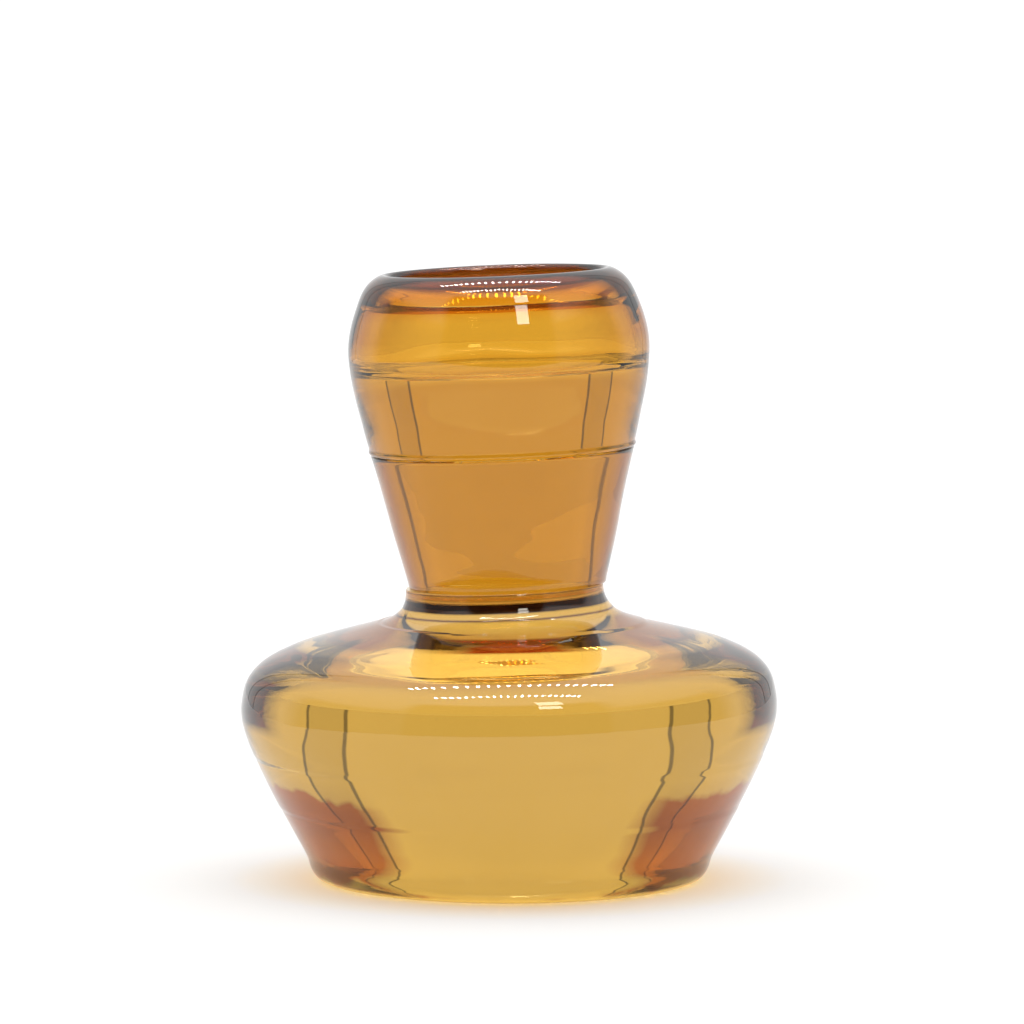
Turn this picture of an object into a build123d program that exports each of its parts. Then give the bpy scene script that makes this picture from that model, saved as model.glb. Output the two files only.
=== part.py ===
from build123d import *
import os

# Hand-worked glass candle flask: a solid lens-shaped foot bowl, a hollow neck
# sleeve standing on it and a thick-bottomed cup that closes the sleeve.
# Millimetres, +Z up, origin at the centre of the flat rest face.
# The neck leans a little towards -X: sleeve and cup are drawn upright about
# the bowl's axis and then tipped about the centre of the waist joint.
# Lengths are stacked from the table up: bowl, sleeve, web of the cup, cup.

os.makedirs("parts", exist_ok=True)

# Foot bowl
BOWL_HEIGHT = 56.0         # rest face up to the waist joint
BELLY_RADIUS = 51.0        # widest ring of the whole object
BELLY_DEPTH = 23.0         # belly ring below the waist joint
REST_RADIUS = 36.0         # flat face that stands on the table
EDGE_REACH = 2.3           # rounded bottom edge, outwards and up
EDGE_RISE = 3.6
FLANK_BULGE = 0.3          # swell of the flank past a straight cone
BROW_REACH = 3.6           # belly turning into the dome, inwards and up
BROW_RISE = 8.5
DOME_REACH = 10.4          # a ring on the dome, in from the belly
DOME_DEPTH = 11.0          # and below the waist joint
FILLET_REACH = 3.8         # hollow fillet under the waist, outwards and down
FILLET_DEPTH = 6.3

# Waist and sleeve
WAIST_RADIUS = 18.8        # narrowest ring, where the sleeve stands on the bowl
WAIST_LAND = 2.0           # short straight length below the waist joint
SLEEVE_LENGTH = 25.7       # waist joint to the seam with the cup
SLEEVE_FOOT_WALL = 3.2
SLEEVE_HEAD_WALL = 4.25
THROAT_RISE_SHARE = 0.31   # a ring of the sleeve, between its foot and its head
THROAT_FLARE_SHARE = 0.3
LEAN_ANGLE = 2.2           # degrees

# Cup
CANDLE_DIAMETER = 40.0     # tealight that goes in through the mouth
CANDLE_CLEARANCE = 0.5     # all round
CUP_WALL = 1.7
LIP_OVERHANG = 6.4         # how far the mouth is curled in past the cup's bore
CUP_TAPER = 3.5            # radius lost from the bulge down to the seam
SEAM_FLARE = 0.25          # radius gained per millimetre of height at the seam
WEB_THICKNESS = 15.4       # solid glass between the seam and the candle's seat
CUP_DEPTH = 18.8           # seat up to the crest of the lip
FLOOR_CORNER = 3.0         # rounding between the cup's wall and floor
BULGE_RISE = 3.9           # widest ring of the cup above the seat
CHEEK_REACH = 2.0          # wall curling in: in from the bulge
CHEEK_DEPTH = 6.2          # and below the crest
BRIM_REACH = 3.8           # wall rolling over into the lip: out from the mouth
BRIM_DEPTH = 2.0           # and below the crest

# Derived
BELLY_HEIGHT = BOWL_HEIGHT - BELLY_DEPTH
SEAM_HEIGHT = BOWL_HEIGHT + SLEEVE_LENGTH
SEAT_HEIGHT = SEAM_HEIGHT + WEB_THICKNESS
CREST_HEIGHT = SEAT_HEIGHT + CUP_DEPTH
MOUTH_RADIUS = CANDLE_DIAMETER / 2 + CANDLE_CLEARANCE
CUP_BORE = MOUTH_RADIUS + LIP_OVERHANG
BULGE_RADIUS = CUP_BORE + CUP_WALL
SEAM_RADIUS = BULGE_RADIUS - CUP_TAPER
CREST_RADIUS = MOUTH_RADIUS + CUP_WALL / 2
LIP_DROP = CUP_WALL * 0.65
WAIST_BORE = WAIST_RADIUS - SLEEVE_FOOT_WALL
SEAM_BORE = SEAM_RADIUS - SLEEVE_HEAD_WALL


def revolved(outline):
    """Turn a closed outline in the XZ plane about the vertical axis."""
    with BuildPart() as body:
        with BuildSketch(Plane.XZ):
            add(outline)
            make_face()
        revolve(axis=Axis.Z)
    return body.part


def leaned(shape):
    """Tip a neck piece about the centre of the waist joint."""
    pivot = Vector(0, 0, BOWL_HEIGHT)
    axis = Axis(pivot, (0, 1, 0))
    return shape.rotate(axis, -LEAN_ANGLE)


def foot_bowl():
    """Solid foot: flat rest, flared flank, belly, dome and waist stub."""
    edge = (REST_RADIUS + EDGE_REACH, EDGE_RISE)
    belly = (BELLY_RADIUS, BELLY_HEIGHT)
    flank = (
        (edge[0] + belly[0]) / 2 + FLANK_BULGE,
        (edge[1] + belly[1]) / 2 - FLANK_BULGE,
    )
    brow = (BELLY_RADIUS - BROW_REACH, BELLY_HEIGHT + BROW_RISE)
    dome = (BELLY_RADIUS - DOME_REACH, BOWL_HEIGHT - DOME_DEPTH)
    shoulder = (WAIST_RADIUS + FILLET_REACH, BOWL_HEIGHT - FILLET_DEPTH)
    land = (WAIST_RADIUS, BOWL_HEIGHT - WAIST_LAND)
    with BuildLine() as outline:
        Line((0, 0), (REST_RADIUS, 0))
        Spline((REST_RADIUS, 0), edge, tangents=((1, 0), (0.5, 1)))
        Spline(
            edge, flank, belly, brow, dome, shoulder,
            tangents=((0.5, 1), (-1, 0.3)),
        )
        Spline(shoulder, land, tangents=((-1, 0.3), (0, 1)))
        Line(land, (WAIST_RADIUS, BOWL_HEIGHT))
        Line((WAIST_RADIUS, BOWL_HEIGHT), (0, BOWL_HEIGHT))
        Line((0, BOWL_HEIGHT), (0, 0))
    return revolved(outline.line)


def neck_sleeve():
    """Open-ended flared sleeve between the waist joint and the seam."""
    below = BOWL_HEIGHT - WAIST_LAND
    bore_slope = (SEAM_BORE - WAIST_BORE) / SLEEVE_LENGTH
    bore_below = WAIST_BORE - bore_slope * WAIST_LAND
    throat = (
        WAIST_RADIUS + (SEAM_RADIUS - WAIST_RADIUS) * THROAT_FLARE_SHARE,
        BOWL_HEIGHT + SLEEVE_LENGTH * THROAT_RISE_SHARE,
    )
    with BuildLine() as outline:
        Line((bore_below, below), (WAIST_RADIUS, below))
        Line((WAIST_RADIUS, below), (WAIST_RADIUS, BOWL_HEIGHT))
        Spline(
            (WAIST_RADIUS, BOWL_HEIGHT), throat, (SEAM_RADIUS, SEAM_HEIGHT),
            tangents=((0, 1), (SEAM_FLARE, 1)),
        )
        Line((SEAM_RADIUS, SEAM_HEIGHT), (SEAM_BORE, SEAM_HEIGHT))
        Line((SEAM_BORE, SEAM_HEIGHT), (bore_below, below))
    tipped = leaned(revolved(outline.line))
    size = 4 * WAIST_RADIUS
    surplus = Pos(0, 0, BOWL_HEIGHT - size / 2) * Box(size, size, size)
    return tipped - surplus


def candle_cup():
    """Thick-bottomed cup with a curled-in, fire-polished lip."""
    wall_foot = SEAT_HEIGHT + FLOOR_CORNER
    corner = FLOOR_CORNER * (1 - 0.5 ** 0.5)
    bulge = (BULGE_RADIUS, SEAT_HEIGHT + BULGE_RISE)
    cheek = (BULGE_RADIUS - CHEEK_REACH, CREST_HEIGHT - CHEEK_DEPTH)
    brim = (MOUTH_RADIUS + BRIM_REACH, CREST_HEIGHT - BRIM_DEPTH)
    crest = (CREST_RADIUS, CREST_HEIGHT)
    mouth = (MOUTH_RADIUS, CREST_HEIGHT - LIP_DROP)
    with BuildLine() as outline:
        Line((0, SEAM_HEIGHT), (SEAM_RADIUS, SEAM_HEIGHT))
        Spline(
            (SEAM_RADIUS, SEAM_HEIGHT), bulge, cheek, brim, crest,
            tangents=((SEAM_FLARE, 1), (-1, 0)),
        )
        Spline(crest, mouth, tangents=((-1, 0), (0, -1)))
        Spline(
            mouth,
            (cheek[0] - CUP_WALL, cheek[1] - CUP_WALL / 2),
            (CUP_BORE, wall_foot),
            tangents=((0, -1), (0, -1)),
        )
        ThreePointArc(
            (CUP_BORE, wall_foot),
            (CUP_BORE - corner, SEAT_HEIGHT + corner),
            (CUP_BORE - FLOOR_CORNER, SEAT_HEIGHT),
        )
        Line((CUP_BORE - FLOOR_CORNER, SEAT_HEIGHT), (0, SEAT_HEIGHT))
        Line((0, SEAT_HEIGHT), (0, SEAM_HEIGHT))
    return leaned(revolved(outline.line))


export_step(foot_bowl(), "parts/foot_bowl.step")
export_step(neck_sleeve(), "parts/neck_sleeve.step")
export_step(candle_cup(), "parts/candle_cup.step")
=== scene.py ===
"""Looks of the amber candle flask: three glass pieces, their finishes and the small studio they stand in.

The glass is drawn as turned work: an outline of a few stations is smoothed, laid down as a chain of
vertices and spun about its own axis. Sleeve and cup share one axis that leans towards -X.
The pieces are drawn in millimetres and the studio in metres.
"""
import logging
import math
from dataclasses import dataclass, field
from enum import Enum
from typing import Callable, Dict, List, Sequence, Tuple

import bpy
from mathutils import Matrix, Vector


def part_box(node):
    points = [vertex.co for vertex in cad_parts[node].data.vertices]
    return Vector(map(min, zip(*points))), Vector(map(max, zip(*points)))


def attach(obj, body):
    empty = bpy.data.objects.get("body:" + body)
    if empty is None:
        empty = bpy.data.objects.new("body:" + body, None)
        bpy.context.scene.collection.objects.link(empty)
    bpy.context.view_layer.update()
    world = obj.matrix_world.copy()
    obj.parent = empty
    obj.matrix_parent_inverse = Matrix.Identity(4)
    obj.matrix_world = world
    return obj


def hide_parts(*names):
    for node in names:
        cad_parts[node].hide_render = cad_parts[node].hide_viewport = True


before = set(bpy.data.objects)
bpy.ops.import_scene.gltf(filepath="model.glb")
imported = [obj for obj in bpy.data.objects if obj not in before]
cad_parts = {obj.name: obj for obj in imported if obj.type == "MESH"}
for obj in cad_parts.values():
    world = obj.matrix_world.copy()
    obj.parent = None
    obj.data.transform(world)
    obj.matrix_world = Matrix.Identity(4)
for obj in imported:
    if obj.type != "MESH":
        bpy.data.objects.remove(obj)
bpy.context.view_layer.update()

LOG = logging.getLogger("candle_flask")
MM = 0.001
WAIST_HEIGHT = round(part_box("foot_bowl")[1][2] / MM, 1)
SEAM_HEIGHT = 81.7  # along the neck's own upright axis, before it is leaned
LEVEL = 0.9  # a face whose normal is this far along Z counts as level
Station = Tuple[float, float]
Span = Tuple[float, float]
Colour = Tuple[float, float, float]


class Face(Enum):
    """Which glass surface a face belongs to, in material-slot order."""

    SKIN = 0
    CLEAR = 1


def smoothed(stations: Sequence[Station], step: float = 0.55) -> List[Station]:
    """Run a smooth curve through the stations of an outline.

    Args:
        stations: radius and height pairs in millimetres, in order.
        step: the longest distance between two finished points, in millimetres.

    Returns:
        The finished points, both ends included.
    """
    ends = [stations[0], *stations, stations[-1]]
    points: List[Station] = []
    for before, start, end, after in zip(ends, ends[1:], ends[2:], ends[3:]):
        chord = math.dist(start, end)
        lead = max(math.dist(before, start), 1e-6)
        tail = max(math.dist(end, after), 1e-6)
        count = max(2, math.ceil(chord / step))
        into = [(end[i] - before[i]) * chord / (chord + lead) for i in (0, 1)]
        out = [(after[i] - start[i]) * chord / (chord + tail) for i in (0, 1)]
        for k in range(count):
            t = k / count
            h00 = (1 + 2 * t) * (1 - t) ** 2
            h10 = t * (1 - t) ** 2
            h01 = t * t * (3 - 2 * t)
            h11 = t * t * (t - 1)
            points.append(tuple(
                h00 * start[i] + h10 * into[i] + h01 * end[i] + h11 * out[i] for i in (0, 1)
            ))
    points.append(tuple(stations[-1]))
    return points


def eased(distance: float, span: float, least: float = 0.0) -> float:
    """How far a distance has come along a span.

    Args:
        distance: the distance, below zero before the span begins.
        span: the whole span.
        least: the smallest share that is given back.

    Returns:
        A share from the least up to 1.
    """
    return min(1.0, max(least, distance / span))


def only(obj: bpy.types.Object) -> None:
    """Select one object alone and make it the active one.

    Args:
        obj: the object.
    """
    bpy.ops.object.select_all(action="DESELECT")
    obj.select_set(True)
    bpy.context.view_layer.objects.active = obj


def turn(degrees: float, centre: Tuple[float, float, float]) -> None:
    """Turn the selection about the Y axis so that its top moves towards -X.

    Args:
        degrees: how far.
        centre: the point it turns about, in metres.
    """
    bpy.ops.transform.rotate(
        value=math.radians(degrees), orient_axis="Y", orient_type="GLOBAL", center_override=centre
    )


def wobble(obj: bpy.types.Object, size: float, depth: float, keep: Callable[[Vector], float]) -> None:
    """Give a turned surface the slow unevenness of handwork.

    Args:
        obj: the piece.
        size: length of the waves in millimetres.
        depth: how far the surface moves at most, in millimetres.
        keep: for a vertex in millimetres, 1 where it moves freely and 0 where it stays.
    """
    group = obj.vertex_groups.new(name="wobble")
    for vertex in obj.data.vertices:
        group.add([vertex.index], keep(vertex.co / MM), "REPLACE")
    cloud = bpy.data.textures.new(f"{obj.name}_wobble", type="CLOUDS")
    cloud.noise_scale = size * MM
    cloud.noise_depth = 0
    only(obj)
    wave = obj.modifiers.new("wobble", "DISPLACE")
    wave.texture = cloud
    wave.texture_coords = "LOCAL"
    wave.strength = 2 * depth * MM
    wave.mid_level = 0.5
    wave.vertex_group = group.name
    bpy.ops.object.modifier_apply(modifier=wave.name)


def settle(obj: bpy.types.Object, node: str) -> None:
    """Hand a finished piece to the frame in place of its CAD node.

    Args:
        obj: the piece.
        node: the CAD node it stands for.
    """
    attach(obj, "root")
    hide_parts(node)
    LOG.info("%s: %d faces", obj.name, len(obj.data.polygons))


@dataclass
class Lathe:
    """Turns an outline into a closed glass body about a vertical axis."""

    segments: int = 224
    weld: float = 0.004
    crease: float = 40.0

    def turn(self, name: str, outline: Sequence[Station]) -> bpy.types.Object:
        """Lay the outline down as a chain of vertices and spin it.

        Args:
            name: name of the finished piece.
            outline: radius and height pairs in millimetres, from axis to axis or closed on itself.

        Returns:
            The closed mesh object with its faces pointing outwards.
        """
        bpy.ops.object.select_all(action="DESELECT")
        bpy.ops.mesh.primitive_circle_add(vertices=3, radius=MM, location=(0, 0, 0))
        body = bpy.context.object
        body.name = body.data.name = name
        first = outline[0]
        bpy.ops.object.mode_set(mode="EDIT")
        bpy.ops.mesh.select_all(action="SELECT")
        bpy.ops.mesh.merge(type="CENTER")
        bpy.ops.transform.translate(value=(first[0] * MM, 0, first[1] * MM))
        for here, there in zip(outline, outline[1:]):
            step = ((there[0] - here[0]) * MM, 0, (there[1] - here[1]) * MM)
            bpy.ops.mesh.extrude_vertices_move(TRANSFORM_OT_translate={"value": step})
        bpy.ops.mesh.select_all(action="SELECT")
        bpy.ops.mesh.spin(
            steps=self.segments, angle=math.tau, center=(0, 0, 0), axis=(0, 0, 1), dupli=False
        )
        bpy.ops.mesh.select_all(action="SELECT")
        bpy.ops.mesh.remove_doubles(threshold=self.weld * MM)
        bpy.ops.mesh.normals_make_consistent(inside=False)
        bpy.ops.object.mode_set(mode="OBJECT")
        bpy.ops.object.shade_smooth_by_angle(angle=math.radians(self.crease))
        return body


@dataclass
class Sheet:
    """A node tree with short ways to add nodes and sums."""

    tree: bpy.types.NodeTree

    def add(self, kind: str, **values: object) -> bpy.types.Node:
        """Add a node and set its plain properties.

        Args:
            kind: Blender's type name of the node.
            values: property names and what they are set to.

        Returns:
            The new node.
        """
        node = self.tree.nodes.new(kind)
        for name, value in values.items():
            setattr(node, name, value)
        return node

    def join(self, source: object, target: bpy.types.NodeSocket) -> None:
        """Feed a socket from another socket or give it a plain value.

        Args:
            source: the socket or the value.
            target: the socket that is fed.
        """
        if isinstance(source, bpy.types.NodeSocket):
            self.tree.links.new(source, target)
        elif source is not None:
            target.default_value = source

    def dial(self, node: bpy.types.Node, values: Dict[str, object]) -> bpy.types.Node:
        """Feed or set several inputs of a node.

        Args:
            node: the node.
            values: for each input's label, a socket to link from or a plain value.

        Returns:
            The same node.
        """
        for label, value in values.items():
            self.join(value, node.inputs[label])
        return node

    def place(self, kind: str = "Object") -> bpy.types.NodeSocket:
        """Where on the object, or in which direction of the world, the surface is read."""
        return self.add("ShaderNodeTexCoord").outputs[kind]

    def split(self, vector: bpy.types.NodeSocket) -> bpy.types.NodeOutputs:
        """Take a vector apart.

        Args:
            vector: the vector's socket.

        Returns:
            Its X, Y and Z.
        """
        node = self.add("ShaderNodeSeparateXYZ")
        self.join(vector, node.inputs[0])
        return node.outputs

    def noise(self, vector: bpy.types.NodeSocket, **settings: object) -> bpy.types.NodeSocket:
        """A noise read at a place, with Scale, Detail and the like given by label."""
        return self.dial(self.add("ShaderNodeTexNoise"), {"Vector": vector, **settings}).outputs[0]

    def cells(self, vector: bpy.types.NodeSocket, scale: float) -> bpy.types.Node:
        """A pattern of scattered cells read at a place."""
        return self.dial(self.add("ShaderNodeTexVoronoi"), {"Vector": vector, "Scale": scale})

    def sum(self, operation: str, *terms: object) -> bpy.types.NodeSocket:
        """Add a Math node and return its result.

        Args:
            operation: the Math node's operation.
            terms: sockets or numbers, in order.

        Returns:
            The result socket.
        """
        node = self.add("ShaderNodeMath", operation=operation)
        for term, target in zip(terms, node.inputs):
            self.join(term, target)
        return node.outputs[0]

    def product(self, first: object, *others: object) -> bpy.types.NodeSocket:
        """Multiply sockets or numbers with each other.

        Args:
            first: the first factor.
            others: all other factors.

        Returns:
            The product's socket.
        """
        for other in others:
            first = self.sum("MULTIPLY", first, other)
        return first

    def distance(self, x: object, y: object) -> bpy.types.NodeSocket:
        """How far a point is from the middle, from its two coordinates."""
        return self.sum("SQRT", self.sum("MULTIPLY_ADD", x, x, self.product(y, y)))

    def ramp(self, value: object, start: float, stop: float, low: float = 0.0,
             high: float = 1.0) -> bpy.types.NodeSocket:
        """A clamped straight ramp.

        Args:
            value: the number looked at.
            start: input where the ramp begins.
            stop: input where the ramp ends.
            low: result at start.
            high: result at stop.

        Returns:
            The result socket.
        """
        node = self.add("ShaderNodeMapRange", clamp=True)
        for target, term in zip(node.inputs, (value, start, stop, low, high)):
            self.join(term, target)
        return node.outputs[0]

    def between(self, value: object, band: Span, soft: float) -> bpy.types.NodeSocket:
        """A mask that is 1 inside a band.

        Args:
            value: the number looked at.
            band: where the band begins and ends.
            soft: half the width of the fade at each end.

        Returns:
            The mask socket.
        """
        rise, fall = (self.ramp(value, edge - soft, edge + soft) for edge in band)
        return self.sum("SUBTRACT", rise, fall)

    def tinted(self, mask: object, colour: object, tint: Colour) -> bpy.types.NodeSocket:
        """Multiply a colour by a tint where a mask is set.

        Args:
            mask: 0 where the colour stays, 1 where it is tinted.
            colour: the colour so far.
            tint: what it is multiplied by.

        Returns:
            The tinted colour.
        """
        node = self.add("ShaderNodeMix", data_type="RGBA", blend_type="MULTIPLY")
        return self.dial(node, {"Factor": mask, "A": colour, "B": (*tint, 1.0)}).outputs["Result"]


@dataclass(frozen=True)
class TintAndShadeBand:
    """A turned band of tint on the glass colour: most are painted shade, dark or red tints standing in for
    the darkness the glass shows where it bends dark surroundings; the rest only deepen the amber.

    Heights and radii are in millimetres. Slant runs from 0 where the surface is met square to 1 edge on:
    the tint comes in over the slant pair and goes out over the fade pair. A near-side band is seen only
    where the glass is entered, not through it.
    """

    tint: Colour
    low: float = -10.0
    high: float = 200.0
    inner: float = -10.0
    outer: float = 100.0
    soft: float = 1.0
    tilt: float = 0.0
    slant: Span = (-1.0, 0.0)
    fade: Span = (2.0, 3.0)
    uneven: float = 0.8
    near_side: bool = False

    def settings(self) -> Dict[str, float]:
        """The band's numbers under the input labels of the shared tint band group."""
        return {
            "Low": self.low, "High": self.high, "Inner": self.inner, "Outer": self.outer, "Soft": self.soft,
            "Tilt": self.tilt, "Slant from": self.slant[0], "Slant to": self.slant[1],
            "Fade from": self.fade[0], "Fade to": self.fade[1], "Uneven": self.uneven,
        }


class Effects:
    """Shader node groups shared by the glass finishes."""

    CORD_STRETCH = (70.0, 70.0, 14.0)
    CORD_TWIST = (0.12, 0.2, 0.0)
    CORD_KINKS = 0.6
    BLOTCH_SCALE = 46.0
    SMEAR: Span = (0.56, 0.78)
    DUSTY: Span = (0.5, 0.62)
    DUST_SCALE = 420.0
    DUST_EDGE: Span = (0.16, 0.05)
    SEED_SCALE = 150.0
    SEED_RARITY = 0.965
    SEED_EDGE: Span = (0.07, 0.035)
    RIPPLE_SCALE = 60.0
    WAVER_SCALE = 130.0

    @staticmethod
    def group(name: str, numbers: Dict[str, float],
              result: str) -> Tuple[Sheet, bpy.types.NodeOutputs, Callable[[object], None]]:
        """Make a group with number inputs and one number output.

        Args:
            name: name of the group.
            numbers: labels and starting values of its inputs.
            result: label of its output.

        Returns:
            A sheet to draw on the group, its inputs, and a function that takes the result.
        """
        tree = bpy.data.node_groups.new(name, "ShaderNodeTree")
        for label, value in numbers.items():
            socket = tree.interface.new_socket(label, in_out="INPUT", socket_type="NodeSocketFloat")
            socket.default_value = value
        tree.interface.new_socket(result, in_out="OUTPUT", socket_type="NodeSocketFloat")
        sheet = Sheet(tree)
        given = sheet.add("NodeGroupInput").outputs
        leave = sheet.add("NodeGroupOutput").inputs[result]
        return sheet, given, lambda value: sheet.join(value, leave)

    @classmethod
    def cords(cls) -> bpy.types.NodeTree:
        """Faint stretched streaks where the gather was twisted, as a depth mask.

        Returns:
            The group's node tree.
        """
        sheet, given, leave = cls.group("glass_cords", {"Spread": 0.5}, "Depth")
        stretch = sheet.dial(sheet.add("ShaderNodeMapping"), {
            "Vector": sheet.place(), "Scale": cls.CORD_STRETCH, "Rotation": cls.CORD_TWIST,
        })
        streaks = sheet.noise(stretch.outputs[0], Scale=1.0, Detail=3.0, Distortion=cls.CORD_KINKS)
        leave(sheet.sum("MULTIPLY_ADD", sheet.sum("SUBTRACT", streaks, 0.5), given["Spread"], 0.5))
        return sheet.tree

    @classmethod
    def handling(cls) -> bpy.types.NodeTree:
        """Finger marks and settled dust, as one mask from 0 on clean glass to 1.

        Returns:
            The group's node tree.
        """
        sheet, given, leave = cls.group("handling_marks", {"Amount": 1.0}, "Mask")
        place = sheet.place()
        blotch = sheet.noise(place, Scale=cls.BLOTCH_SCALE, Detail=5.0)
        speck = sheet.cells(place, cls.DUST_SCALE).outputs["Distance"]
        smear = sheet.ramp(blotch, *cls.SMEAR)
        dust = sheet.product(sheet.ramp(speck, *cls.DUST_EDGE), sheet.ramp(blotch, *cls.DUSTY))
        leave(sheet.product(sheet.sum("MAXIMUM", smear, dust), given["Amount"]))
        return sheet.tree

    @classmethod
    def seeds(cls) -> bpy.types.NodeTree:
        """Sparse specks of batch dust caught in the glass, as a mask that is 1 on a speck.

        Returns:
            The group's node tree.
        """
        sheet, given, leave = cls.group("glass_seeds", {"Amount": 1.0}, "Mask")
        grains = sheet.cells(sheet.place(), cls.SEED_SCALE)
        kind = sheet.add("ShaderNodeSeparateColor")
        sheet.join(grains.outputs["Color"], kind.inputs[0])
        chosen = sheet.sum("GREATER_THAN", kind.outputs[0], cls.SEED_RARITY)
        grain = sheet.ramp(grains.outputs["Distance"], *cls.SEED_EDGE)
        leave(sheet.product(chosen, grain, given["Amount"]))
        return sheet.tree

    @classmethod
    def ripple(cls) -> bpy.types.NodeTree:
        """Slow waves left by the blowpipe and the wet paddle, as a height.

        Returns:
            The group's node tree.
        """
        sheet, given, leave = cls.group("hand_ripple", {"Size": 1.0}, "Height")
        leave(sheet.noise(sheet.place(), Scale=sheet.product(given["Size"], cls.RIPPLE_SCALE), Detail=1.0))
        return sheet.tree

    @classmethod
    def tint_and_shade_group(cls) -> bpy.types.NodeTree:
        """Where a tint band lies, mostly painted shade: a turned band, picked out over a range of slants to
        the view.

        Returns:
            The group's node tree.
        """
        numbers = {"Slant": 0.0, **TintAndShadeBand((1.0, 1.0, 1.0)).settings()}
        sheet, given, leave = cls.group("tint_and_shade_banding", numbers, "Mask")
        place = sheet.place()
        x, y, z = (sheet.product(axis, 1.0 / MM) for axis in sheet.split(place))
        waver = sheet.noise(place, Scale=cls.WAVER_SCALE, Detail=3.0)
        stray = sheet.product(sheet.sum("SUBTRACT", waver, 0.5), given["Uneven"])
        level = sheet.sum("SUBTRACT", z, sheet.product(x, given["Tilt"]))
        height = sheet.sum("ADD", level, stray)
        above_waist = sheet.sum("MAXIMUM", sheet.sum("SUBTRACT", z, WAIST_HEIGHT), 0.0)
        radius = sheet.distance(sheet.sum("MULTIPLY_ADD", above_waist, given["Tilt"], x), y)
        sides = []
        for value, near, far in ((height, "Low", "High"), (radius, "Inner", "Outer")):
            for edge, inwards in ((given[near], 1.0), (given[far], -1.0)):
                past = sheet.product(sheet.sum("SUBTRACT", value, edge), inwards)
                sides.append(sheet.ramp(sheet.sum("DIVIDE", past, given["Soft"]), -0.5, 0.5))
        slanted = sheet.ramp(given["Slant"], given["Slant from"], given["Slant to"])
        kept = sheet.ramp(given["Slant"], given["Fade from"], given["Fade to"], 1.0, 0.0)
        leave(sheet.product(*sides, slanted, kept))
        return sheet.tree


@dataclass
class GlassEffects:
    """The shared groups, built once."""

    cords: bpy.types.NodeTree = field(default_factory=Effects.cords)
    handling: bpy.types.NodeTree = field(default_factory=Effects.handling)
    ripple: bpy.types.NodeTree = field(default_factory=Effects.ripple)
    tint_and_shade_group: bpy.types.NodeTree = field(default_factory=Effects.tint_and_shade_group)
    seeds: bpy.types.NodeTree = field(default_factory=Effects.seeds)


@dataclass(frozen=True)
class GlassFinish:
    """A clear or amber glass surface.

    The tint is what white light keeps after passing in through this surface and out again.
    """

    name: str
    pale: Colour
    deep: Colour
    smudge: float = 0.5
    ripple: float = 0.25
    ripple_depth: float = 0.6
    smear_roughness: float = 0.09
    seed_tint: Colour = (0.02, 0.01, 0.01)
    ior: float = 1.5
    tint_and_shade_bands: Tuple[TintAndShadeBand, ...] = ()

    def material(self, effects: GlassEffects) -> bpy.types.Material:
        """Build the node material.

        Args:
            effects: the shared node groups.

        Returns:
            The finished material.
        """
        made = bpy.data.materials.new(self.name)
        made.use_nodes = True
        sheet = Sheet(made.node_tree)
        glass = made.node_tree.nodes["Principled BSDF"]
        cords = sheet.add("ShaderNodeGroup", node_tree=effects.cords)
        body = sheet.dial(sheet.add("ShaderNodeMix", data_type="RGBA"), {
            "Factor": cords.outputs["Depth"], "A": (*self.pale, 1.0), "B": (*self.deep, 1.0),
        })
        colour = self.with_tint_and_shade(sheet, body.outputs["Result"], effects)
        seeds = sheet.add("ShaderNodeGroup", node_tree=effects.seeds)
        marks = sheet.add("ShaderNodeGroup", node_tree=effects.handling)
        for dirt in (seeds, marks):
            dirt.inputs["Amount"].default_value = self.smudge
        waves = sheet.add("ShaderNodeGroup", node_tree=effects.ripple)
        bump = sheet.dial(sheet.add("ShaderNodeBump"), {
            "Strength": self.ripple, "Distance": self.ripple_depth * MM, "Height": waves.outputs["Height"],
        })
        sheet.dial(glass, {
            "IOR": self.ior,
            "Transmission Weight": 1.0,
            "Base Color": sheet.tinted(seeds.outputs["Mask"], colour, self.seed_tint),
            "Roughness": sheet.ramp(marks.outputs["Mask"], 0.0, 1.0, 0.0, self.smear_roughness),
            "Normal": bump.outputs[0],
        })
        return made

    def with_tint_and_shade(self, sheet: Sheet, colour: bpy.types.NodeSocket,
               effects: GlassEffects) -> bpy.types.NodeSocket:
        """Lay each tint band on the glass colour: most are painted shade, the rest deeper amber.

        Args:
            sheet: the material's sheet.
            colour: the colour of the body.
            effects: the shared node groups.

        Returns:
            The colour with its painted shade and deeper bands.
        """
        if not self.tint_and_shade_bands:
            return colour
        # Painted shade: the bands are picked out by how steeply the surface is seen, from Layer Weight's
        # Facing.
        slant = sheet.add("ShaderNodeLayerWeight")
        slant.inputs["Blend"].default_value = 0.5
        inside = sheet.add("ShaderNodeNewGeometry").outputs["Backfacing"]
        entered = sheet.sum("SUBTRACT", 1.0, inside)
        for band_spec in self.tint_and_shade_bands:
            band = sheet.add("ShaderNodeGroup", node_tree=effects.tint_and_shade_group)
            sheet.dial(band, {"Slant": slant.outputs["Facing"], **band_spec.settings()})
            mask = band.outputs["Mask"]
            if band_spec.near_side:
                mask = sheet.product(mask, entered)
            colour = sheet.tinted(mask, colour, band_spec.tint)
        return colour


@dataclass
class Lean:
    """The neck's own axis: where it stands on the bowl and how far it leans."""

    angle: float = 2.2
    offset: float = -0.35
    pivot_height: float = WAIST_HEIGHT

    @property
    def tilt(self) -> float:
        """Rise per length across, of a ring square to the leaning axis."""
        return math.tan(math.radians(self.angle))

    def tip(self, obj: bpy.types.Object) -> None:
        """Tip a whole upright piece about the centre of the waist joint.

        Args:
            obj: the piece.
        """
        only(obj)
        bpy.ops.object.mode_set(mode="EDIT")
        bpy.ops.mesh.select_all(action="SELECT")
        turn(self.angle, (0, 0, self.pivot_height * MM))
        bpy.ops.transform.translate(value=(self.offset * MM, 0, 0))
        bpy.ops.object.mode_set(mode="OBJECT")


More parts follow.
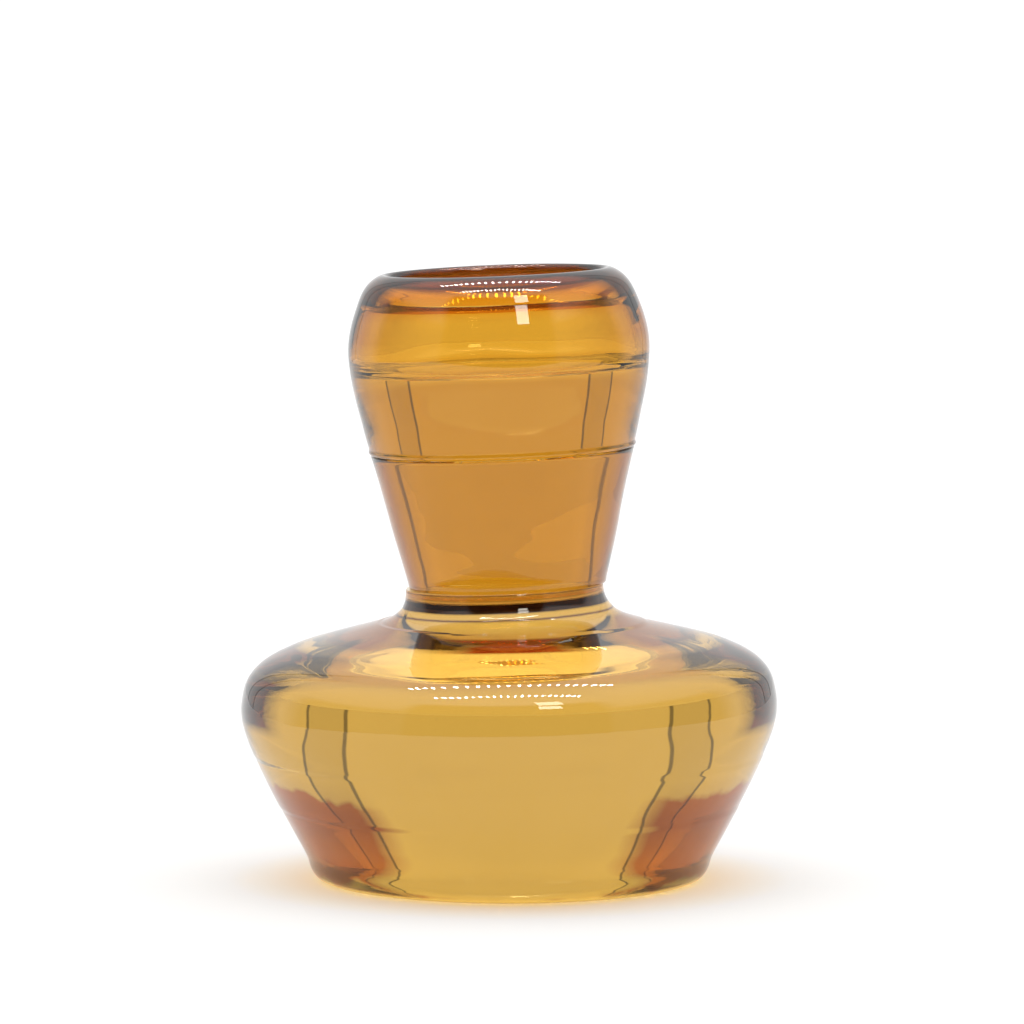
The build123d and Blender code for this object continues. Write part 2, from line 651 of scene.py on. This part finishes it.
@dataclass(frozen=True)
class Palette:
    """The tints of the amber glass, of its deeper bands and of its painted shade, and the finishes made
    from them.

    A body of glass has two tints, one where it is thin of colour and one where a cord deepens it.
    """

    tilt: float
    straw: Tuple[Colour, Colour] = ((0.68, 0.405, 0.075), (0.62, 0.35, 0.05))
    amber: Tuple[Colour, Colour] = ((0.62, 0.27, 0.014), (0.56, 0.225, 0.007))
    honey: Tuple[Colour, Colour] = ((0.84, 0.43, 0.04), (0.77, 0.37, 0.025))
    water: Tuple[Colour, Colour] = ((0.985, 0.98, 0.965), (0.97, 0.96, 0.94))
    tea: Tuple[Colour, Colour] = ((0.985, 0.97, 0.93), (0.96, 0.93, 0.86))
    # The tints from here down are painted shade, except collar, web and lip, which deepen the amber.
    ink: Colour = (0.002, 0.0005, 0.0005)
    black: Colour = (0.0004, 0.0001, 0.0001)
    near_black: Colour = (0.008, 0.004, 0.005)
    garnet: Colour = (0.12, 0.0025, 0.001)
    plum: Colour = (0.3, 0.17, 0.18)
    deep_plum: Colour = (0.05, 0.008, 0.009)
    veil: Colour = (0.3, 0.13, 0.13)
    brick_red: Colour = (0.44, 0.095, 0.014)
    dusk: Colour = (0.5, 0.4, 0.4)
    dark_line: Colour = (0.05, 0.012, 0.01)
    collar: Colour = (0.55, 0.36, 0.22)
    web: Colour = (0.73, 0.62, 0.35)
    cheek: Colour = (0.5, 0.28, 0.2)
    lip: Colour = (0.84, 0.56, 0.15)
    mouth: Colour = (0.1, 0.03, 0.03)

    def bowl_skin(self) -> GlassFinish:
        """Pale amber with painted shade at the waist ring, the lens under it, the crescents and the lower
        flanks.

        Returns:
            The finish.
        """
        # Painted shade: a near-black ring and a thin dark line round the waist joint.
        waist = (
            TintAndShadeBand(self.ink, low=52.4, high=54.3, soft=0.35, tilt=self.tilt, uneven=0.3),
            TintAndShadeBand(self.dark_line, low=51.1, high=51.5, soft=0.3, tilt=self.tilt, uneven=0.3),
        )
        # Painted shade: dark crescents on the outer shoulder, only at steep slants.
        crescents = (
            TintAndShadeBand(self.deep_plum, low=30.5, high=40.5, inner=40.0, outer=53.0, soft=2.0, slant=(0.48, 0.6)),
            TintAndShadeBand(self.deep_plum, low=39.5, high=47.5, inner=40.0, outer=53.0, soft=2.0, slant=(0.62, 0.74)),
        )
        # Painted shade: dark red and black bands under the waist, only where the glass is entered.
        lens = (
            TintAndShadeBand(self.garnet, low=44.0, high=51.0, inner=27.0, outer=34.5, slant=(0.57, 0.61),
                 fade=(0.66, 0.7), near_side=True),
            TintAndShadeBand(self.black, low=44.0, high=51.6, inner=20.5, outer=33.0, slant=(0.648, 0.668),
                 fade=(0.7, 0.73), near_side=True),
            TintAndShadeBand(self.veil, low=44.0, high=51.6, inner=20.5, outer=36.0, soft=2.0, slant=(0.69, 0.75),
                 near_side=True),
        )
        # A darker, redder band just above the waist ring.
        collar = (TintAndShadeBand(self.collar, low=54.3, high=56.5, soft=0.4, tilt=self.tilt),)
        # Painted shade: red-brown and dim bands on the lower flanks, and plum where the side turns edge on.
        flanks = (
            TintAndShadeBand(self.brick_red, low=1.5, high=19.5, soft=1.2, slant=(0.3, 0.38), uneven=6.0),
            TintAndShadeBand(self.dusk, low=10.0, high=19.5, soft=7.0, slant=(0.3, 0.38), uneven=2.0),
            TintAndShadeBand(self.plum, low=2.0, high=40.0, soft=2.0, slant=(0.75, 1.0)),
        )
        tint_and_shade_bands = waist + crescents + lens + collar + flanks
        return GlassFinish("amber_skin_pale", *self.straw, tint_and_shade_bands=tint_and_shade_bands)

    def sleeve_skin(self) -> GlassFinish:
        """Deep amber with painted plum shade at its edges."""
        tint_and_shade_bands = (TintAndShadeBand(self.plum, slant=(0.3, 0.65)),)
        return GlassFinish("amber_skin_deep", *self.amber, tint_and_shade_bands=tint_and_shade_bands)

    def cup_skin(self) -> GlassFinish:
        """Bright amber, deeper in the web below the seat and at the lip, with painted shade round the
        shoulders, at the rim and edges and inside the mouth.

        Returns:
            The finish.
        """
        # Web and lip deepen the amber; rim, edges, cheeks and mouth are painted shade.
        web = TintAndShadeBand(self.web, high=97.0, soft=1.5, tilt=self.tilt)
        rim = TintAndShadeBand(self.near_black, low=110.4, high=118.0, soft=0.8, tilt=self.tilt, slant=(0.42, 0.55))
        edges = TintAndShadeBand(self.plum, high=112.0, soft=4.0, tilt=self.tilt, slant=(0.5, 0.85))
        cheeks = TintAndShadeBand(self.cheek, low=101.0, high=112.5, soft=6.0, tilt=self.tilt, slant=(0.12, 0.6),
                      near_side=True)
        lip = TintAndShadeBand(self.lip, low=110.0, high=118.0, soft=5.0, tilt=self.tilt)
        mouth = TintAndShadeBand(self.mouth, low=111.0, outer=22.6, tilt=self.tilt)
        tint_and_shade_bands = (web, rim, edges, cheeks, lip, mouth)
        return GlassFinish("amber_skin_lip", *self.honey, tint_and_shade_bands=tint_and_shade_bands)

    def clear_core(self) -> GlassFinish:
        """The clean faces of the joints and the candle seat."""
        return GlassFinish("clear_core", *self.water, smudge=0.0, ripple=0.1)

    def sleeve_bore(self) -> GlassFinish:
        """The sleeve's inside, with painted shade where it turns edge on."""
        tint_and_shade_bands = (TintAndShadeBand(self.near_black, slant=(0.71, 0.75)),)
        return GlassFinish("sleeve_bore", *self.tea, smudge=0.0, ripple=0.1, tint_and_shade_bands=tint_and_shade_bands)


@dataclass
class TurnedPiece:
    """What the three glass pieces share: a lathe, two finishes and how uneven they are."""

    lathe: Lathe
    skin: GlassFinish
    core: GlassFinish
    wave_size: float = 20.0
    wave_depth: float = 0.2
    calm: float = 7.0

    def dress(self, piece: bpy.types.Object, effects: GlassEffects,
              bare: Callable[[bpy.types.MeshPolygon], bool]) -> None:
        """Give the piece its two glass surfaces.

        Args:
            piece: the turned body.
            effects: the shared node groups.
            bare: says of a face whether it is clear rather than skin.
        """
        for finish in (self.skin, self.core):
            piece.data.materials.append(finish.material(effects))
        for face in piece.data.polygons:
            face.material_index = (Face.CLEAR if bare(face) else Face.SKIN).value

    @staticmethod
    def outward(face: bpy.types.MeshPolygon) -> float:
        """Above zero where a face looks away from the axis, below zero where it looks at it."""
        return face.normal.x * face.center.x + face.normal.y * face.center.y


@dataclass
class FootBowl(TurnedPiece):
    """Solid lens-shaped foot with the waist stub on top."""

    wave_size: float = 26.0
    wave_depth: float = 0.16
    calm: float = 8.0
    waist_height: float = WAIST_HEIGHT
    joint_radii: Tuple[float, ...] = (18.62, 9.0, 0.0)
    joint_margin: float = 1.0
    sags: Tuple[Tuple[float, float, float], ...] = (
        (14.0, 0.3, 0.0), (24.0, 0.3, 0.0), (33.0, 0.3, 0.0), (49.0, 0.5, -0.15), (52.0, 0.8, -0.2)
    )
    stations: Tuple[Station, ...] = (
        (0.0, 0.0), (17.0, 0.0), (34.0, 0.0), (35.8, 0.12), (37.1, 0.85), (37.95, 2.2), (38.75, 4.6),
        (41.3, 9.3), (44.55, 15.4), (46.8, 20.0), (48.8, 24.5), (50.0, 27.6), (50.8, 30.6),
        (51.0, 33.0), (50.75, 35.4), (50.1, 38.0), (49.0, 39.9), (47.3, 41.6), (45.3, 42.9),
        (43.2, 43.9), (40.5, 44.95), (36.2, 46.15), (31.5, 47.35), (27.2, 48.45), (24.0, 49.4),
        (21.7, 50.4), (20.2, 51.6), (19.3, 53.0), (18.9, 54.4), (18.8, 55.75),
    )

    def build(self, effects: GlassEffects) -> bpy.types.Object:
        """Turn, slump and dress the bowl.

        Args:
            effects: the shared node groups.

        Returns:
            The finished piece.
        """
        outline = smoothed(self.stations) + [(radius, self.waist_height) for radius in self.joint_radii]
        bowl = self.lathe.turn("foot_bowl_glass", outline)
        wobble(bowl, self.wave_size, self.wave_depth, self.looseness)
        self.slump(bowl)
        self.dress(bowl, effects, self.at_joint)
        settle(bowl, "foot_bowl")
        return bowl

    def at_joint(self, face: bpy.types.MeshPolygon) -> bool:
        """Whether a face belongs to the flat top that the sleeve stands on."""
        return face.center.z / MM > self.waist_height - self.joint_margin and face.normal.z > LEVEL

    def looseness(self, at: Vector) -> float:
        """How freely a point of the bowl may wander: not at all at the rest face and the joint."""
        return eased(at.z, self.calm) * eased(self.waist_height - at.z, self.calm)

    def slump(self, bowl: bpy.types.Object) -> None:
        """Tip the bowl little by little from its flank up to the waist, as the hot glass sank.

        Args:
            bowl: the turned bowl.
        """
        only(bowl)
        for height, degrees, shift in self.sags:
            bpy.ops.object.mode_set(mode="EDIT")
            bpy.ops.mesh.select_all(action="DESELECT")
            bpy.ops.object.mode_set(mode="OBJECT")
            for vertex in bowl.data.vertices:
                vertex.select = vertex.co.z > height * MM
            bpy.ops.object.mode_set(mode="EDIT")
            turn(degrees, (0, 0, height * MM))
            bpy.ops.transform.translate(value=(shift * MM, 0, 0))
            bpy.ops.object.mode_set(mode="OBJECT")


@dataclass
class NeckSleeve(TurnedPiece):
    """Hollow flared tube between the waist joint and the seam."""

    lean: Lean = field(default_factory=Lean)
    wave_size: float = 17.0
    wave_depth: float = 0.3
    seam_height: float = SEAM_HEIGHT
    foot_gap: float = 0.03
    seam_gap: float = 0.02
    foot_radii: Tuple[float, float] = (15.8, 18.6)
    rim_radii: Tuple[float, float] = (24.8, 20.9)
    mid_wall: Tuple[float, float] = (17.4, 22.7)
    outer_share: float = 0.35
    outer: Tuple[Station, ...] = (
        (18.8, 56.3), (18.95, 57.2), (19.25, 58.4), (19.8, 60.6), (20.6, 63.7), (21.45, 67.1),
        (22.15, 70.2), (22.9, 73.3), (23.65, 76.3), (24.35, 79.0), (25.0, 81.45),
    )
    bore: Tuple[Station, ...] = (
        (20.75, 81.5), (20.2, 78.9), (19.5, 75.4), (18.7, 71.2), (17.85, 67.0), (17.0, 63.0),
        (16.2, 59.4), (15.65, 56.25),
    )

    def build(self, effects: GlassEffects) -> bpy.types.Object:
        """Turn, tip and dress the sleeve.

        Args:
            effects: the shared node groups.

        Returns:
            The finished piece.
        """
        foot = self.lean.pivot_height + self.foot_gap
        rim = self.seam_height - self.seam_gap
        start = [(self.foot_radii[1], foot)]
        top = [(radius, rim) for radius in self.rim_radii]
        base = [(radius, foot) for radius in self.foot_radii]
        outline = start + smoothed(self.outer) + top + smoothed(self.bore) + base
        sleeve = self.lathe.turn("neck_sleeve_glass", outline)
        wobble(sleeve, self.wave_size, self.wave_depth, self.looseness)
        self.dress(sleeve, effects, self.inside_or_end)
        self.lean.tip(sleeve)
        settle(sleeve, "neck_sleeve")
        return sleeve

    def inside_or_end(self, face: bpy.types.MeshPolygon) -> bool:
        """Whether a face belongs to the bore or to one of the two flat ends."""
        return self.outward(face) <= 0 or abs(face.normal.z) > LEVEL

    def looseness(self, at: Vector) -> float:
        """How freely a point of the sleeve may wander: the bore most, the two ends not at all.

        Args:
            at: the point in millimetres.

        Returns:
            A share from 0 to 1.
        """
        above_foot = at.z - self.lean.pivot_height
        low = eased(above_foot, self.calm)
        high = eased(self.seam_height - at.z, self.calm)
        share = above_foot / (self.seam_height - self.lean.pivot_height)
        foot, head = self.mid_wall
        inner = math.hypot(at.x, at.y) < foot + (head - foot) * share
        return low * high * (1.0 if inner else self.outer_share)


@dataclass
class CandleCup(TurnedPiece):
    """Thick-bottomed cup whose thin wall curls in to a fire-polished lip."""

    lean: Lean = field(default_factory=Lean)
    wave_size: float = 19.0
    wave_depth: float = 0.22
    seam_height: float = SEAM_HEIGHT
    seam_gap: float = 0.02
    seam_radii: Tuple[float, ...] = (0.0, 12.0, 24.85)
    seat_height: float = 97.1
    seat_level: float = 0.97
    seam_margin: float = 0.1
    seat_margin: float = 0.5
    lip_height: float = 110.5
    lip_calm: Tuple[float, float, float] = (118.0, 8.0, 0.15)
    seat_calm: Tuple[float, float] = (1.5, 6.0)
    bore_radius: float = 27.2
    outer: Tuple[Station, ...] = (
        (25.22, 81.95), (25.42, 82.35), (25.3, 82.8), (25.4, 83.4), (25.85, 85.3), (26.55, 88.5),
        (27.3, 91.6), (27.9, 94.5), (28.35, 97.5), (28.6, 100.8), (28.4, 103.6), (27.7, 106.8),
        (26.75, 109.6), (26.05, 111.4), (25.3, 112.9), (24.3, 114.2), (23.2, 115.1), (22.2, 115.65),
        (21.35, 115.85),
    )
    inner: Tuple[Station, ...] = (
        (20.75, 115.55), (20.45, 114.9), (20.65, 114.1), (21.7, 112.9), (23.2, 111.6), (24.5, 110.0),
        (25.6, 107.7), (26.5, 104.8), (26.87, 102.0), (26.87, 99.9), (26.5, 98.6), (25.75, 97.7),
        (24.6, 97.2), (23.2, 97.1), (16.0, 97.1), (8.0, 97.1), (0.0, 97.1),
    )

    def build(self, effects: GlassEffects) -> bpy.types.Object:
        """Turn, tip and dress the cup.

        Args:
            effects: the shared node groups.

        Returns:
            The finished piece.
        """
        base = [(radius, self.seam_height + self.seam_gap) for radius in self.seam_radii]
        cup = self.lathe.turn("candle_cup_glass", base + smoothed(self.outer + self.inner))
        wobble(cup, self.wave_size, self.wave_depth, self.looseness)
        self.dress(cup, effects, self.seat_or_seam)
        self.lean.tip(cup)
        settle(cup, "candle_cup")
        return cup

    def seat_or_seam(self, face: bpy.types.MeshPolygon) -> bool:
        """Whether a face belongs to the flat bottom or to the hollow below the lip.

        Args:
            face: the face.

        Returns:
            True where it does.
        """
        height = face.center.z / MM
        at_seam = height < self.seam_height + self.seam_gap + self.seam_margin and face.normal.z < -LEVEL
        hollow = self.outward(face) < 0 or face.normal.z > self.seat_level
        return at_seam or (hollow and self.seat_height - self.seat_margin < height <= self.lip_height)

    def looseness(self, at: Vector) -> float:
        """How freely a point of the cup may wander: not at all at seam and seat, little at the lip.

        Args:
            at: the point in millimetres.

        Returns:
            A share from 0 to 1.
        """
        top, span, least = self.lip_calm
        rise, reach = self.seat_calm
        low = eased(at.z - self.seam_height, self.calm)
        high = eased(top - at.z, span, least)
        seat = eased(at.z - self.seat_height - rise, reach)
        inner = math.hypot(at.x, at.y) < self.bore_radius and at.z > self.seat_height - 2 * self.seat_margin
        return low * high * (seat if inner else 1.0)


def glowing(name: str, strength: float, colour: Colour = (1.0, 1.0, 1.0)) -> bpy.types.Material:
    """A material that only gives off light.

    Args:
        name: name of the material.
        strength: how bright it is.
        colour: its colour.

    Returns:
        The finished material.
    """
    made = bpy.data.materials.new(name)
    made.use_nodes = True
    sheet = Sheet(made.node_tree)
    nodes = made.node_tree.nodes
    nodes.remove(nodes["Principled BSDF"])
    light = sheet.dial(sheet.add("ShaderNodeEmission"), {"Color": (*colour, 1.0), "Strength": strength})
    sheet.join(light.outputs[0], nodes["Material Output"].inputs["Surface"])
    return made


def hidden_from(obj: bpy.types.Object, *rays: str) -> None:
    """Hide an object from some kinds of rays.

    Args:
        obj: the object.
        rays: the kinds of rays that don't meet it.
    """
    for ray in rays:
        setattr(obj, f"visible_{ray}", False)


@dataclass
class Floor:
    """A pale level floor that glows evenly, with a painted warm glow under the flask in place of the light
    that comes down through the amber.
    """

    half: float = 0.75
    shift: float = 0.15
    drop: float = 0.0002
    grey: float = 0.6
    emission: float = 0.42
    glow_reach: Span = (0.054, 0.036)
    plain: Colour = (1.0, 0.985, 0.97)
    painted_glow_tint: Colour = (1.2, 0.88, 0.48)

    def build(self) -> None:
        """Lay the floor and paint it."""
        bpy.ops.object.select_all(action="DESELECT")
        bpy.ops.mesh.primitive_plane_add(size=2 * self.half, location=(0, self.shift, -self.drop))
        floor = bpy.context.object
        floor.name = floor.data.name = "floor"
        paint = bpy.data.materials.new("floor_white")
        paint.use_nodes = True
        sheet = Sheet(paint.node_tree)
        x, y, _ = sheet.split(sheet.place())
        reach = sheet.distance(x, sheet.sum("ADD", y, self.shift))
        # Painted light: a warm glow in the floor's emission under the flask.
        glow = sheet.dial(sheet.add("ShaderNodeMix", data_type="RGBA"), {
            "Factor": sheet.ramp(reach, *self.glow_reach), "A": (*self.plain, 1.0), "B": (*self.painted_glow_tint, 1.0),
        })
        sheet.dial(paint.node_tree.nodes["Principled BSDF"], {
            "Base Color": (self.grey, self.grey, self.grey, 1.0),
            "Roughness": 1.0,
            "Specular IOR Level": 0.0,
            "Emission Strength": self.emission,
            "Emission Color": glow.outputs["Result"],
        })
        floor.data.materials.append(paint)


@dataclass
class LampStrips:
    """Two overhead rows of small round lamps that show as dots in the glass."""

    height: float = 0.47
    rows: Tuple[Tuple[float, int], ...] = ((0.06, 22), (-0.15, 22))
    spacing: float = 0.0168
    radius: float = 0.0026
    stretch: float = 7.0
    strength: float = 90.0

    def build(self) -> None:
        """Hang every lamp and join them to one strip."""
        bpy.ops.object.select_all(action="DESELECT")
        lamps = []
        for back, count in self.rows:
            for k in range(count):
                across = (k - (count - 1) / 2) * self.spacing
                lamps.append(self.lamp((across, back, self.height)))
        for lamp in lamps:
            lamp.select_set(True)
        bpy.context.view_layer.objects.active = lamps[0]
        bpy.ops.object.join()
        strip = bpy.context.object
        strip.name = strip.data.name = "lamp_strips"
        strip.data.materials.append(glowing("lamp_glow", self.strength))
        hidden_from(strip, "diffuse", "camera", "shadow")

    def lamp(self, place: Tuple[float, float, float]) -> bpy.types.Object:
        """Make one lamp, drawn out towards the front.

        Args:
            place: its centre in metres.

        Returns:
            The lamp's disc.
        """
        bpy.ops.mesh.primitive_circle_add(vertices=12, radius=self.radius, fill_type="NGON", location=place)
        bpy.ops.object.mode_set(mode="EDIT")
        bpy.ops.mesh.select_all(action="SELECT")
        bpy.ops.transform.resize(value=(1.0, self.stretch, 1.0))
        bpy.ops.object.mode_set(mode="OBJECT")
        return bpy.context.object


@dataclass
class WindowPanes:
    """Two small daylight panes off to one side in front, seen only as patches on the glass."""

    panes: Tuple[Tuple[Tuple[float, float, float], float, float], ...] = (
        ((0.17, -0.43, 0.57), 0.115, -38.0),
        ((0.18, -0.5, 0.45), 0.105, -20.0),
    )
    upright: float = 90.0
    heading: float = 0.35
    colour: Colour = (1.0, 0.93, 0.8)
    strength: float = 13.0

    def build(self) -> None:
        """Set up the panes: each has a centre, a side and a lean from upright in degrees."""
        bpy.ops.object.select_all(action="DESELECT")
        day = glowing("daylight", self.strength, self.colour)
        for number, (place, side, leaned) in enumerate(self.panes, start=1):
            facing = (math.radians(self.upright + leaned), 0, self.heading)
            bpy.ops.mesh.primitive_plane_add(size=side, location=place, rotation=facing)
            pane = bpy.context.object
            pane.name = pane.data.name = f"window_pane_{number}"
            pane.data.materials.append(day)
            bpy.ops.object.transform_apply(location=True, rotation=True, scale=True)
            hidden_from(pane, "camera", "diffuse", "transmission", "shadow")


@dataclass(frozen=True)
class Shade:
    """A dark part of the light box: how far round from straight behind, how far up, and how dark."""

    around: Span
    above: Span
    depth: float

    def mask(self, sheet: Sheet, around: object, above: object) -> bpy.types.NodeSocket:
        """How much light the shade takes away in a direction.

        Args:
            sheet: the world's sheet.
            around: degrees round from straight behind.
            above: degrees above the table.

        Returns:
            A share from 0 to the shade's depth.
        """
        sideways = sheet.ramp(around, *self.around)
        return sheet.product(sideways, sheet.ramp(above, *self.above, 0.0, self.depth))


@dataclass
class LightBox:
    """White panels all round with dark seams behind, a bright roof and a dark open front, in degrees."""

    roof: Span = (25.0, 60.0)
    roof_gain: float = 1.75
    front: Shade = Shade((126.0, 136.0), (52.0, 46.0), 0.965)
    sides: Shade = Shade((66.0, 78.0), (32.0, 26.0), 0.68)
    strip: Span = (27.0, 37.0)
    strip_soft: float = 0.3
    strip_depth: float = 0.13
    seams: Tuple[Span, ...] = ((26.1, 27.0), (36.9, 37.8))
    seam_soft: float = 0.2
    seam_depth: float = 0.72
    seam_top: Span = (50.0, 44.0)
    backdrop: float = 1.1

    def build(self) -> None:
        """Paint the world."""
        world = bpy.data.worlds.new("light_box")
        bpy.context.scene.world = world
        world.use_nodes = True
        sheet = Sheet(world.node_tree)
        x, y, z = sheet.split(sheet.place("Generated"))
        around = sheet.sum("ABSOLUTE", sheet.sum("DEGREES", sheet.sum("ARCTAN2", x, y)))
        above = sheet.sum("DEGREES", sheet.sum("ARCSINE", z))
        panels = sheet.ramp(above, *self.roof, 1.0, self.roof_gain)
        dark = sheet.sum("MAXIMUM", *(side.mask(sheet, around, above) for side in (self.front, self.sides)))
        strip = sheet.between(around, self.strip, self.strip_soft)
        seams = sheet.sum("ADD", *(sheet.between(around, seam, self.seam_soft) for seam in self.seams))
        lines = sheet.sum("MULTIPLY_ADD", strip, self.strip_depth, sheet.product(seams, self.seam_depth))
        lines = sheet.product(lines, sheet.ramp(above, *self.seam_top))
        lit = sheet.product(panels, *(sheet.sum("SUBTRACT", 1.0, taken) for taken in (lines, dark)))
        light = sheet.dial(sheet.add("ShaderNodeMix", data_type="FLOAT"), {
            "Factor": sheet.add("ShaderNodeLightPath").outputs["Is Camera Ray"],
            "A": lit, "B": self.backdrop,
        })
        tone = sheet.add("ShaderNodeCombineXYZ")
        for target in tone.inputs:
            sheet.join(light.outputs["Result"], target)
        sheet.dial(world.node_tree.nodes["Background"], {"Color": tone.outputs[0], "Strength": 1.0})


@dataclass
class Camera:
    """A long lens a little above the flask, aimed at its middle."""

    distance: float = 1.241
    height: float = 0.181
    aim: Tuple[float, float, float] = (0.000475, 0.0, 0.0699)
    sensor: float = 36.0
    focal: float = 230.5

    def build(self) -> None:
        """Set the camera up and look through it."""
        lens = bpy.data.cameras.new("camera")
        lens.sensor_width = self.sensor
        lens.lens = self.focal
        camera = bpy.data.objects.new("camera", lens)
        bpy.context.scene.collection.objects.link(camera)
        camera.location = (self.aim[0], -self.distance, self.height)
        sight = Vector(self.aim) - camera.location
        camera.rotation_euler = sight.to_track_quat("-Z", "Y").to_euler()
        bpy.context.scene.camera = camera


@dataclass
class Studio:
    """White light box open at the front, with the light paths that thick glass needs."""

    floor: Floor = field(default_factory=Floor)
    lamps: LampStrips = field(default_factory=LampStrips)
    panes: WindowPanes = field(default_factory=WindowPanes)
    box: LightBox = field(default_factory=LightBox)
    camera: Camera = field(default_factory=Camera)
    bounces: int = 40
    glass_bounces: int = 32
    gloss_bounces: int = 16
    matt_bounces: int = 4

    def build(self) -> None:
        """Set up everything that isn't part of the flask."""
        for part in (self.floor, self.lamps, self.panes, self.box, self.camera):
            part.build()
            LOG.info("%s is up", type(part).__name__)
        scene = bpy.context.scene
        scene.view_settings.view_transform = "Standard"
        scene.cycles.max_bounces = self.bounces
        scene.cycles.transmission_bounces = self.glass_bounces
        scene.cycles.glossy_bounces = self.gloss_bounces
        scene.cycles.diffuse_bounces = self.matt_bounces


def main() -> None:
    """Build the flask piece by piece, then the studio."""
    logging.basicConfig(level=logging.INFO, format="%(name)s: %(message)s")
    effects = GlassEffects()
    lathe = Lathe()
    lean = Lean()
    palette = Palette(lean.tilt)
    core = palette.clear_core()
    FootBowl(lathe, palette.bowl_skin(), core).build(effects)
    NeckSleeve(lathe, palette.sleeve_skin(), palette.sleeve_bore(), lean=lean).build(effects)
    CandleCup(lathe, palette.cup_skin(), core, lean=lean).build(effects)
    Studio().build()


if __name__ == "__main__":
    main()
